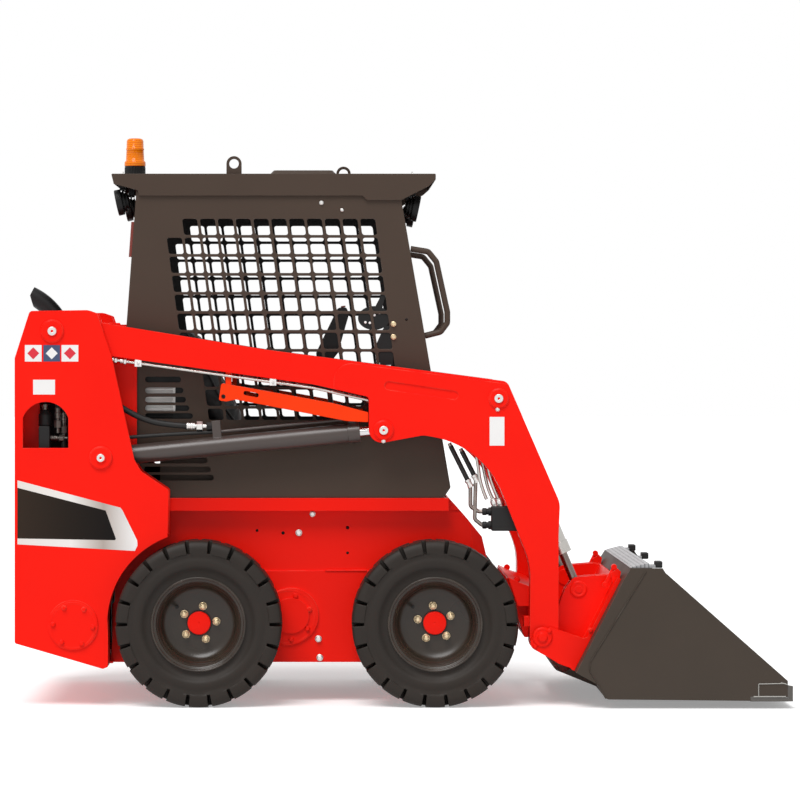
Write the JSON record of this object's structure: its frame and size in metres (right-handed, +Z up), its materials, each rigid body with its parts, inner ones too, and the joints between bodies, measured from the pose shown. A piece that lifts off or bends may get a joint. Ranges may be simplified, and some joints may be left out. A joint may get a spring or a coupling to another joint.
{
  "type": "skid steer loader",
  "caption": "Compact skid steer loader: open-front mesh-sided cab, twin lift arms on rear towers, hydraulic cylinders, quick coupler with bucket, and lugged tyres.",
  "frame": {"origin": "on the ground under the middle of the overall length, on the machine's centreline", "axes": "+X forward, towards the bucket; +Y to the machine's left; +Z up"},
  "size_m": [2.726, 1.25, 2.029],
  "materials": {
    "body_paint": "gloss bright orange-red enamel",
    "cab_paint": "satin dark brown-grey enamel",
    "bucket_paint": "satin dark brown-grey enamel, scuffed at the edges",
    "cylinder_paint": "satin dark enamel on the barrels",
    "rod_chrome": "polished hard chrome",
    "tyre_rubber": "matt dark grey rubber",
    "rim_paint": "satin dark enamel",
    "zinc": "bright zinc plate",
    "exhaust_steel": "heat-darkened steel",
    "engine_iron": "painted cast iron",
    "seat_vinyl": "black grained vinyl",
    "black_plastic": "matt black plastic",
    "amber_lens": "clear amber plastic",
    "red_lens": "amber-red plastic lens",
    "brace_paint": "orange-red enamel",
    "edge_steel": "bare steel worn by the ground"
  },
  "bodies": {
    "chassis": {"chassis_tub": "body_paint", "tower_right": "body_paint", "tower_left": "body_paint", "rear_header": "body_paint", "engine_block": "engine_iron", "exhaust_stack": "exhaust_steel", "cab_side_right": "cab_paint", "cab_side_left": "cab_paint", "cab_rear_wall": "cab_paint", "cab_roof": "cab_paint", "cab_front_frame": "cab_paint", "grab_handles": "cab_paint", "lifting_eyes": "cab_paint", "beacon": "amber_lens", "work_lamps": "black_plastic", "tail_lamps": "red_lens", "seat_base": "cab_paint", "seat_cushion": "seat_vinyl", "seat_back": "seat_vinyl", "control_levers": "black_plastic", "instrument_pod": "black_plastic", "oil_cooler": "zinc"},
    "rear_door": {"rear_door": "body_paint"},
    "engine_hood": {"engine_hood": "body_paint"},
    "arms": {"arm_right": "body_paint", "arm_left": "body_paint", "arm_cross_member": "body_paint", "arm_pipes": "zinc", "arm_braces": "brace_paint", "aux_lines": "zinc"},
    "coupler": {"coupler_frame": "body_paint", "coupler_levers": "zinc", "bucket": "bucket_paint", "cutting_edge": "edge_steel", "bucket_step": "zinc"},
    "lift_barrel_right": {"lift_barrel_right": "cylinder_paint"},
    "lift_rod_right": {"lift_rod_right": "rod_chrome"},
    "tilt_barrel_right": {"tilt_barrel_right": "cylinder_paint"},
    "tilt_rod_right": {"tilt_rod_right": "rod_chrome"},
    "wheel_front_right": {"tyre_front_right": "tyre_rubber", "rim_front_right": "rim_paint"},
    "wheel_rear_right": {"tyre_rear_right": "tyre_rubber", "rim_rear_right": "rim_paint"},
    "lift_barrel_left": {"lift_barrel_left": "cylinder_paint"},
    "lift_rod_left": {"lift_rod_left": "rod_chrome"},
    "tilt_barrel_left": {"tilt_barrel_left": "cylinder_paint"},
    "tilt_rod_left": {"tilt_rod_left": "rod_chrome"},
    "wheel_front_left": {"tyre_front_left": "tyre_rubber", "rim_front_left": "rim_paint"},
    "wheel_rear_left": {"tyre_rear_left": "tyre_rubber", "rim_rear_left": "rim_paint"}
  },
  "joints": [
    {"name": "arms_lift", "type": "hinge", "parent": "chassis", "child": "arms", "pos_m": [-1.231, 0, 1.32], "axis": [0, -1, 0], "range_deg": [0, 64]},
    {"name": "bucket_tilt", "type": "hinge", "parent": "arms", "child": "coupler", "pos_m": [0.493, 0, 0.244], "axis": [0, 1, 0], "range_deg": [-28, 87]},
    {"name": "lift_barrel_right", "type": "hinge", "parent": "chassis", "child": "lift_barrel_right", "pos_m": [-1.06, -0.465, 0.874], "axis": [0, -1, 0], "range_deg": [0, 60.21]},
    {"name": "lift_rod_right", "type": "slide", "parent": "lift_barrel_right", "child": "lift_rod_right", "axis": [0.9953, 0, 0.097], "range_m": [0, 0.492]},
    {"name": "tilt_barrel_right", "type": "hinge", "parent": "arms", "child": "tilt_barrel_right", "pos_m": [0.34, -0.375, 1.083], "axis": [0, 1, 0], "range_deg": [-2.23, 0.75]},
    {"name": "tilt_rod_right", "type": "slide", "parent": "tilt_barrel_right", "child": "tilt_rod_right", "axis": [0.3905, 0, -0.9206], "range_m": [-0.0787, 0.2434]},
    {"name": "wheel_front_right_spin", "type": "hinge", "parent": "chassis", "child": "wheel_front_right", "pos_m": [0.115, -0.49, 0.292], "axis": [0, 1, 0], "continuous": true},
    {"name": "wheel_rear_right_spin", "type": "hinge", "parent": "chassis", "child": "wheel_rear_right", "pos_m": [-0.715, -0.49, 0.292], "axis": [0, 1, 0], "continuous": true},
    {"name": "lift_barrel_left", "type": "hinge", "parent": "chassis", "child": "lift_barrel_left", "pos_m": [-1.06, 0.465, 0.874], "axis": [0, -1, 0], "range_deg": [0, 60.21]},
    {"name": "lift_rod_left", "type": "slide", "parent": "lift_barrel_left", "child": "lift_rod_left", "axis": [0.9953, 0, 0.097], "range_m": [0, 0.492]},
    {"name": "tilt_barrel_left", "type": "hinge", "parent": "arms", "child": "tilt_barrel_left", "pos_m": [0.34, 0.375, 1.083], "axis": [0, 1, 0], "range_deg": [-2.23, 0.75]},
    {"name": "tilt_rod_left", "type": "slide", "parent": "tilt_barrel_left", "child": "tilt_rod_left", "axis": [0.3905, 0, -0.9206], "range_m": [-0.0787, 0.2434]},
    {"name": "wheel_front_left_spin", "type": "hinge", "parent": "chassis", "child": "wheel_front_left", "pos_m": [0.115, 0.49, 0.292], "axis": [0, 1, 0], "continuous": true},
    {"name": "wheel_rear_left_spin", "type": "hinge", "parent": "chassis", "child": "wheel_rear_left", "pos_m": [-0.715, 0.49, 0.292], "axis": [0, 1, 0], "continuous": true},
    {"name": "rear_door_swing", "type": "hinge", "parent": "chassis", "child": "rear_door", "pos_m": [-1.351, 0.39, 0.7], "axis": [0, 0, -1], "range_deg": [0, 110]},
    {"name": "engine_hood_lift", "type": "hinge", "parent": "chassis", "child": "engine_hood", "pos_m": [-1.04, 0, 1.29], "axis": [0, 1, 0], "range_deg": [0, 70]}
  ],
  "couplings": [
    {"joint": "lift_barrel_right", "follows": "arms_lift", "ratio": 0.94},
    {"joint": "lift_rod_right", "follows": "arms_lift", "m_per_rad": 0.44},
    {"joint": "tilt_barrel_right", "follows": "bucket_tilt", "ratio": -0.025},
    {"joint": "tilt_rod_right", "follows": "bucket_tilt", "m_per_rad": 0.16},
    {"joint": "lift_barrel_left", "follows": "arms_lift", "ratio": 0.94},
    {"joint": "lift_rod_left", "follows": "arms_lift", "m_per_rad": 0.44},
    {"joint": "tilt_barrel_left", "follows": "bucket_tilt", "ratio": -0.025},
    {"joint": "tilt_rod_left", "follows": "bucket_tilt", "m_per_rad": 0.16}
  ]
}
